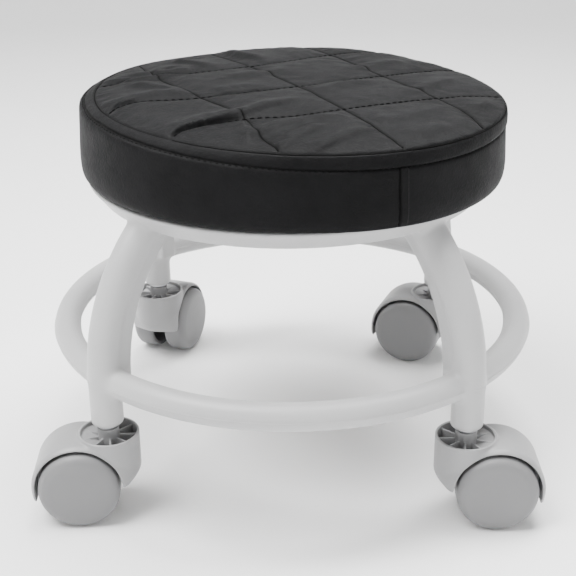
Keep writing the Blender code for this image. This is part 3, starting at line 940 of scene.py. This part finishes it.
def puffed(points, faces, free):
    """Inflates the cloth between its pinned seams with Blender's cloth solver."""
    mesh = bpy.data.meshes.new("cloth")
    mesh.from_pydata(points.tolist(), [], faces)
    obj = put("cloth", mesh)
    group = obj.vertex_groups.new(name="pin")
    for index in np.nonzero(~free)[0]:
        group.add([int(index)], 1.0, "REPLACE")
    cloth = obj.modifiers.new("cloth", "CLOTH")
    settings = cloth.settings
    settings.quality = 6
    settings.mass = 0.2
    settings.tension_stiffness = 18
    settings.compression_stiffness = 18
    settings.shear_stiffness = 8
    settings.bending_stiffness = 2.5
    settings.vertex_group_mass = "pin"
    settings.use_pressure = True
    settings.uniform_pressure_force = 0.7
    settings.shrink_min = -0.004
    settings.effector_weights.gravity = 0.0
    cloth.collision_settings.use_collision = False
    for number in range(1, 21):
        bpy.context.scene.frame_set(number)
    evaluated = obj.evaluated_get(bpy.context.evaluated_depsgraph_get())
    moved = np.array([tuple(vertex.co) for vertex in evaluated.data.vertices])
    bpy.context.scene.frame_set(1)
    bpy.data.objects.remove(obj)
    return moved


def capped(start, end, most):
    """Moves from start towards end, but never further than a cap."""
    step = end - start
    length = np.linalg.norm(step, axis=1)
    share = np.minimum(1, most / np.maximum(length, 1e-9))
    return start + step * share[:, None]


def fine_mesh(points, faces):
    """One level of subdivision of the cushion, then closed underneath, as a mesh datablock."""
    mesh = bpy.data.meshes.new("cushion")
    mesh.from_pydata(points.tolist(), [], faces)
    obj = put("cushion", mesh)
    step = obj.modifiers.new("fine", "SUBSURF")
    step.levels = 1
    step.render_levels = 1
    bpy.context.view_layer.update()
    evaluated = obj.evaluated_get(bpy.context.evaluated_depsgraph_get())
    fine = bpy.data.meshes.new_from_object(evaluated)
    bpy.data.objects.remove(obj)
    shell = bmesh.new()
    shell.from_mesh(fine)
    bmesh.ops.holes_fill(shell, edges=[edge for edge in shell.edges if edge.is_boundary], sides=0)
    shell.to_mesh(fine)
    shell.free()
    return fine


def arrays(mesh):
    points = np.empty(len(mesh.vertices) * 3)
    mesh.vertices.foreach_get("co", points)
    normals = np.empty(len(mesh.vertices) * 3)
    mesh.vertices.foreach_get("normal", normals)
    return points.reshape(-1, 3), normals.reshape(-1, 3)


def ease(value, low, high):
    share = np.clip((value - low) / (high - low), 0, 1)
    return share * share * (3 - 2 * share)


def fold_height(place):
    """The listed folds of the quilted top: steep on one side, soft on the other."""
    height = np.zeros(len(place))
    for rise, soft, steep, points in FOLDS:
        line = smooth_line(in_metres(points), 0.003)
        away, along, side = distance_to(place, line)
        length = np.linalg.norm(np.diff(line, axis=0), axis=1).sum()
        width = np.where(side > 0, soft, steep) / 1000
        ends = ease(along, -0.1 * length, 0.14 * length) * (1 - ease(along, 0.6 * length, length))
        height += rise / 1000 * ends * np.exp(-((away / width) ** 2))
    return height


def wrinkles(points, scale, stretch=(1, 1, 1)):
    """Smooth noise at each point, from -1 to 1."""
    factor = Vector(stretch) / scale
    return np.array([noise.noise(Vector(point) * factor) for point in points])


def near(distance, width):
    """1 on a line, falling off like a bell over a width."""
    return np.exp(-((distance / width) ** 2))


def nearest_line(places, lines):
    """Each point's distance to the nearest of several polylines."""
    return np.min([distance_to(places, line)[0] for line in lines], axis=0)


def dress_top(points, normals, centre, dashed, plain):
    """Lays the folds, wrinkles and stitch grooves on the top: (its points, how near each is to a seam, as
    painted shade for the seam grooves).
    """
    place = points[:, :2] - centre
    out = np.linalg.norm(place, axis=1)
    height = top_height(place)
    on_top = (normals[:, 2] > 0.35) & (out < TOP_OUT + 0.0008) & (points[:, 2] > height - 0.004)
    index = np.nonzero(on_top)[0]
    spot = place[index]
    from_plain, from_dashed = nearest_line(spot, plain), nearest_line(spot, dashed)
    from_seam = np.minimum(from_plain, from_dashed)
    from_rim = TOP_OUT - out[index]
    panel = ease(from_seam, 0.0008, 0.010) * ease(from_rim, 0.0, 0.012)
    lift = fold_height(spot) * ease(from_dashed, 0.0, 0.0020) * ease(from_rim, 0.0, 0.005)
    lift += PANEL_RISE * panel
    small = wrinkles(points[index], 0.016, (1.0, 1.6, 1.0)) + 0.5 * wrinkles(points[index], 0.007)
    lift += SMALL_WRINKLE * small * ease(from_seam, 0.0, 0.004)
    groove = PLAIN_GROOVE * near(from_plain, 0.0008)
    lift -= np.maximum(groove, DASHED_GROOVE * near(from_dashed, 0.0012))
    lift -= RIM_GROOVE * near(from_rim, 0.0010)
    points[index] += normals[index] * lift[:, None]
    # painted shade: a near-black share along the plain seams, the stitched seams and the rim groove
    painted_seam_shade = np.maximum(near(from_plain, 0.0009), 0.6 * near(from_dashed, 0.0009))
    return on_top, index, np.maximum(painted_seam_shade, near(from_rim, 0.0008))


def dress_side(points, on_top):
    """Lays the band's wrinkles, lower seam and upright join: (its points, how near each is to a seam, as
    painted shade for the seam grooves).
    """
    radial = points[:, :2] - BASE
    angle = np.arctan2(radial[:, 1], radial[:, 0]) % (2 * math.pi)
    radius = np.linalg.norm(radial, axis=1)
    strip_low = strip_height(*radial.T)
    on_side = (radius > BAND_OUT - 0.0075) & (points[:, 2] > BAND_LOW.z + 0.0010) & ~on_top
    index = np.nonzero(on_side)[0]
    outward = radial[index] / radius[index][:, None]
    down = strip_low[index] - points[index, 2]
    turn = (angle[index] - JOIN_ANGLE + math.pi) % (2 * math.pi) - math.pi
    past = turn * BAND_OUT
    in_band = ease(down, 0.0, 0.0006)
    push = BAND_WAVE * wrinkles(points[index], 0.045, (1, 1, 0.5)) * in_band
    push += BAND_WRINKLE * wrinkles(points[index], 0.010, (1, 1, 0.35)) * (1 - ease(down, 0.002, 0.016))
    flap = ease(past, -0.0001, 0.0003) * (1 - ease(past, 0.0046, 0.0054))
    join = near(past + 0.0003, 0.0006)
    push += in_band * (0.0006 * flap - 0.0009 * join)
    push -= 0.0005 * near(down, 0.0006)
    points[index, :2] += outward * push[:, None]
    # painted shade: share for the groove below the strip and the upright join
    return index, np.maximum(near(down, 0.0006), in_band * join)


def build_cushion():
    dashed, plain = seam_lines()
    lines = dashed + plain
    start, faces, kinds = cushion_shell(lines)
    centre = BASE + np.array([TOP_SHIFT, 0])
    flat = start[:, :2] - centre
    edge = TOP_OUT - np.linalg.norm(flat, axis=1)
    inside = (nearest_line(flat, lines) > 1.2 * LINE_ROW) & (edge > 1.4 * LINE_ROW)
    free = ((kinds == "top") & inside) | (kinds == "band")
    points = start
    most = np.where(kinds == "band", BAND_CAP, TOP_CAP)
    points = capped(start, puffed(start, faces, free), most)
    mesh = fine_mesh(points, faces)
    points, normals = arrays(mesh)
    painted_seam_shade = np.zeros(len(points))
    on_top, index, share = dress_top(points, normals, centre, dashed, plain)
    painted_seam_shade[index] = share
    index, share = dress_side(points, on_top)
    painted_seam_shade[index] = share
    mesh.vertices.foreach_set("co", points.ravel())
    mesh.update()
    mesh.shade_smooth()
    # painted shade stored per point, darkening the leather in the seam grooves
    mesh.attributes.new("painted_seam_shade", "FLOAT", "POINT").data.foreach_set("value", painted_seam_shade.astype(np.float32))
    mesh.materials.clear()
    mesh.materials.append(LEATHER_LOOK)
    cushion = put("quilted_cushion", mesh)
    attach(cushion, "root")
    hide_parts("seat_foam", "cover_top_panel", "cover_edge_strip", "cover_side_band")
    return cushion, dashed, plain, centre


def stitch(length, radius):
    """One stitch along X, bowed so that its ends dive into the leather: (points, faces)."""
    points, faces = [(-length / 2, 0, -radius * 1.2)], []
    rings, sides = 5, 6
    for ring in range(1, rings + 1):
        along = ring / (rings + 1) * 2 - 1
        thick = radius * math.sqrt(1 - along**2) ** 0.7
        drop = -radius * 1.2 * along**4
        for side in range(sides):
            turn = 2 * math.pi * side / sides
            points.append((along * length / 2, thick * math.cos(turn), drop + thick * math.sin(turn)))
    points.append((length / 2, 0, -radius * 1.2))
    for side in range(sides):
        beside = (side + 1) % sides
        faces.append((0, 1 + beside, 1 + side))
        faces.append((len(points) - 1, 1 + (rings - 1) * sides + side, 1 + (rings - 1) * sides + beside))
        for ring in range(rings - 1):
            low = 1 + ring * sides
            faces.append((low + side, low + beside, low + sides + beside, low + sides + side))
    return np.array(points), faces


def stitched(places, ups, length, pitch, radius):
    """A row of stitches along a line of points with outward normals."""
    along = run_along(places)
    shape, faces = stitch(length, radius)
    shapes = []
    for number in range(int(along[-1] / pitch)):
        middle = (number + 0.5) * pitch
        ends = [
            np.array([np.interp(middle + off, along, places[:, axis]) for axis in range(3)])
            for off in (-length / 2, length / 2)
        ]
        up = np.array([np.interp(middle, along, ups[:, axis]) for axis in range(3)])
        forward = ends[1] - ends[0]
        forward /= np.linalg.norm(forward)
        across = np.cross(up, forward)
        across /= np.linalg.norm(across)
        up = np.cross(forward, across)
        centre = (ends[0] + ends[1]) / 2
        shapes.append((centre + shape @ np.array([forward, across, up]), faces))
    return shapes


def build_seams(cushion, dashed, plain, centre):
    tree = BVHTree.FromPolygons(
        [vertex.co for vertex in cushion.data.vertices],
        [tuple(face.vertices) for face in cushion.data.polygons],
    )

    def from_above(line):
        spots, ups = [], []
        for x, y in line:
            hit = tree.ray_cast(Vector((x + centre[0], y + centre[1], 0.3)), Vector((0, 0, -1)))
            if hit[0] is not None:
                spots.append(tuple(hit[0]))
                ups.append(tuple(hit[1]))
        return np.array(spots), np.array(ups)

    def from_side(drop):
        spots, ups = [], []
        for turn in np.linspace(0, 2 * math.pi, 720):
            away = Vector((math.cos(turn), math.sin(turn), 0))
            height = strip_height(BAND_OUT * away.x, BAND_OUT * away.y) - drop
            source = Vector((BASE[0], BASE[1], height)) + 0.2 * away
            hit = tree.ray_cast(source, -away)
            spots.append(tuple(hit[0]))
            ups.append(tuple(hit[1]))
        return np.array(spots), np.array(ups)

    shapes = []
    for line in dashed:
        places, ups = from_above(evenly(line, 0.001)[3:-3])
        shapes += stitched(places + 0.00030 * ups, ups, **TOP_STITCH)
    places, ups = from_side(0.0004)
    shapes += stitched(places + 0.00005 * ups, ups, **SIDE_STITCH)
    stitches = piece("cushion_stitches", *joined(shapes), THREAD_LOOK)
    # Black cords laid along the plain seam grooves and round the rim groove: painted shade that makes these
    # grooves read dark.
    shade_cords = []
    for line in plain:
        places, ups = from_above(evenly(line, 0.0015)[2:-2])
        shade_cords.append(cord(places + 0.0001 * ups, 0.00042))
    turns = np.linspace(0, 2 * math.pi, 540, endpoint=False)
    rim = (TOP_OUT - 0.0002) * np.stack([np.cos(turns), np.sin(turns)], 1)
    places, ups = from_above(rim)
    shade_cords.append(cord(places, 0.0004, closed=True))
    seam_shade_piece = piece("cushion_seam_shade_cords", *joined(shade_cords), THREAD_LOOK)


# ---------------------------------------------------------------- small steel and the board


def finish_small_parts():
    """Better materials on the CAD nodes that keep their own shape."""
    for name, node in frame["nodes"].items():
        if name.startswith("seat_screw") or name.endswith(("_axle", "_grip_ring")):
            look = ZINC_LOOK
        elif name == "seat_board":
            look = PLYWOOD_LOOK
        else:
            continue
        node.data.materials.clear()
        node.data.materials.append(look)


# ---------------------------------------------------------------- room, light and camera

FLOOR_RADIUS = 1.6
WALL_HEIGHT = 3.0
WORLD_LIGHT = 0.28
CAMERA_PLACE = (0.0265, -0.7108, 0.4116)
CAMERA_TURN = (1.1637, 0.0098, 0.0365)
LENS_MM = 70.97
SENSOR_MM = 36


def build_room():
    """A pale seamless floor that curves up into a wall all round the stool."""
    look = Look("scene_floor", 0.8)
    tones = ((0.3, (0.92, 0.92, 0.92)), (0.7, (0.94, 0.94, 0.94)))
    look.link("Base Color", look.ramp(look.noise(3.0), tones))
    outline = [(0.3, 0.0), (0.9, 0.0), (FLOOR_RADIUS, 0.0)]
    outline += [
        (FLOOR_RADIUS + math.sin(turn), 1 - math.cos(turn))
        for turn in np.linspace(0.1, math.pi / 2, 14)
    ]
    outline += [(FLOOR_RADIUS + 1, WALL_HEIGHT)]
    sides = 96
    points = [(0.0, 0.0, 0.0)]
    for out, height in outline:
        for turn in np.linspace(0, 2 * math.pi, sides, endpoint=False):
            points.append((out * math.cos(turn), out * math.sin(turn), height))
    faces = [(0, 1 + side, 1 + (side + 1) % sides) for side in range(sides)]
    for ring in range(len(outline) - 1):
        for side in range(sides):
            low, beside = 1 + ring * sides, (side + 1) % sides
            faces.append((low + side, low + sides + side, low + sides + beside, low + beside))
    floor = piece("studio_floor", points, faces, look.material, None)


def area_light(name, place, aim, size, power):
    data = bpy.data.lights.new(name, "AREA")
    data.shape = "DISK"
    data.size = size
    data.energy = power
    light = put(name, data)
    light.location = place
    light.rotation_euler = (Vector(aim) - Vector(place)).to_track_quat("-Z", "Y").to_euler()


def build_light():
    world = bpy.data.worlds.new("studio")
    world.use_nodes = True
    world.node_tree.nodes["Background"].inputs["Color"].default_value = (1, 1, 1, 1)
    world.node_tree.nodes["Background"].inputs["Strength"].default_value = WORLD_LIGHT
    bpy.context.scene.world = world
    middle = (0, 0, 0.13)
    area_light("key", (-0.60, -0.30, 1.4), middle, 0.9, 48)
    area_light("top", (0.25, 0.30, 1.45), (0, 0, 0.24), 0.9, 44)
    area_light("fill", (1.1, -0.9, 0.8), middle, 1.0, 3)


def build_camera():
    data = bpy.data.cameras.new("camera")
    data.sensor_width = SENSOR_MM
    data.lens = LENS_MM
    camera = put("camera", data)
    camera.location = CAMERA_PLACE
    camera.rotation_euler = Euler(CAMERA_TURN)
    bpy.context.scene.camera = camera


build_frame()
build_casters()
build_seams(*build_cushion())
finish_small_parts()
build_room()
build_light()
build_camera()
